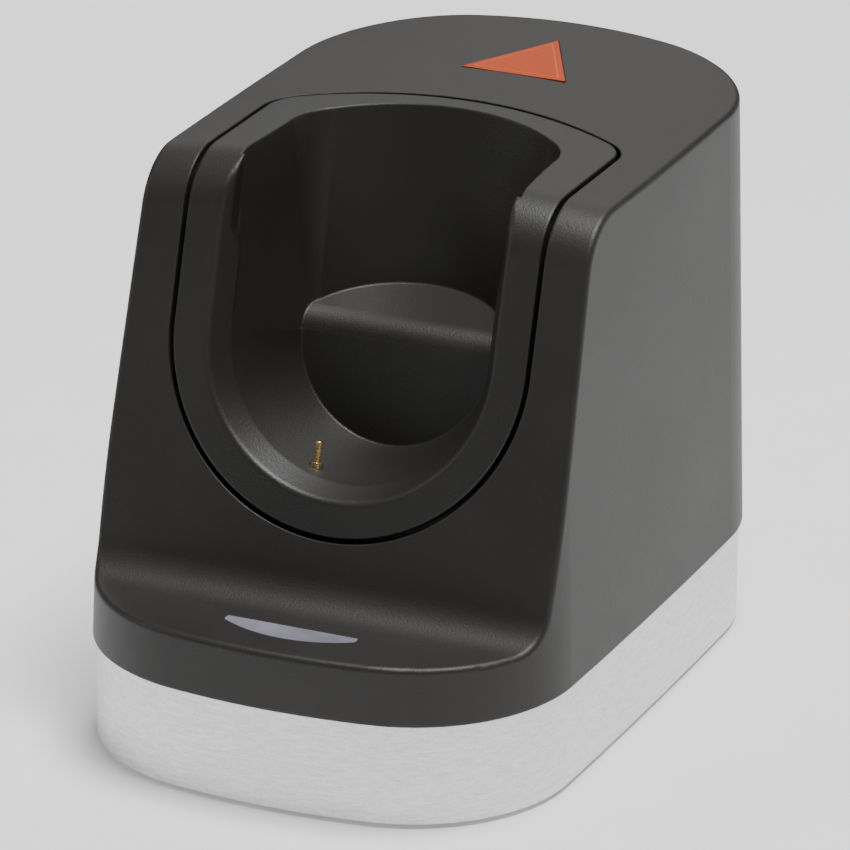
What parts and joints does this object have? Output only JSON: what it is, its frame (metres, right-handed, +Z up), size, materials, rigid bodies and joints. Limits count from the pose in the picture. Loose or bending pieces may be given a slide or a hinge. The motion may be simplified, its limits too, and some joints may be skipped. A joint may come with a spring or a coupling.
{
  "type": "charging cradle",
  "caption": "Desk charging cradle with a U-shaped pocket in a sloping face, a sprung charging contact, light bar, black housing and brushed metal skirt.",
  "frame": {"origin": "centre of the bounding box on the table under the feet", "axes": "+Z up, front of the cradle towards -Y, +X to the right seen from the front"},
  "size_m": [0.0812, 0.1252, 0.0929],
  "materials": {
    "black_housing": "fine matt texture, dark grey-black",
    "black_insert": "fine matt texture, near black",
    "silver_skirt": "brushed, satin",
    "black_base": "matt",
    "rubber": "matt",
    "steel": "zinc plated",
    "screw_steel": "zinc plated",
    "light_lens": "frosted translucent grey",
    "circuit_board": "green solder mask",
    "led_body": "clear moulded",
    "chip_plastic": "moulded",
    "ferrite": "sintered ferrite",
    "capacitor_can": "drawn can",
    "header_plastic": "glass filled",
    "gold": "gold plated",
    "spring_steel": "drawn wire",
    "wire_red": "red insulation",
    "wire_black": "black insulation",
    "badge": "orange, satin",
    "label": "blank, printed film"
  },
  "bodies": {
    "cradle": {"upper_housing": "black_housing", "cradle_insert": "black_insert", "base_skirt": "silver_skirt", "base_plate": "black_base", "rubber_feet": "rubber", "ballast_plate": "steel", "ballast_screws": "screw_steel", "base_screws": "screw_steel", "insert_screws": "screw_steel", "light_bar_lens": "light_lens", "led_board": "circuit_board", "status_leds": "led_body", "led_board_screws": "screw_steel", "main_circuit_board": "circuit_board", "board_screws": "screw_steel", "controller_chip": "chip_plastic", "power_inductor": "ferrite", "filter_capacitors": "capacitor_can", "wire_header": "header_plastic", "power_inlet": "black_base", "power_inlet_pin": "gold", "contact_block": "header_plastic", "contact_block_screws": "screw_steel", "contact_barrel": "gold", "contact_spring": "spring_steel", "contact_lead": "wire_red", "return_contact": "gold", "return_lead": "wire_black", "badge": "badge", "rating_label": "label"},
    "charging_pin": {"contact_pin": "gold"}
  },
  "joints": [
    {"name": "contact_press", "type": "slide", "parent": "cradle", "child": "charging_pin", "axis": [0, -0.2756, -0.9613], "range_m": [0, 0.0018], "stiffness_N_per_m": 250, "springref_m": -0.0012, "deforming": ["contact_spring"]}
  ]
}
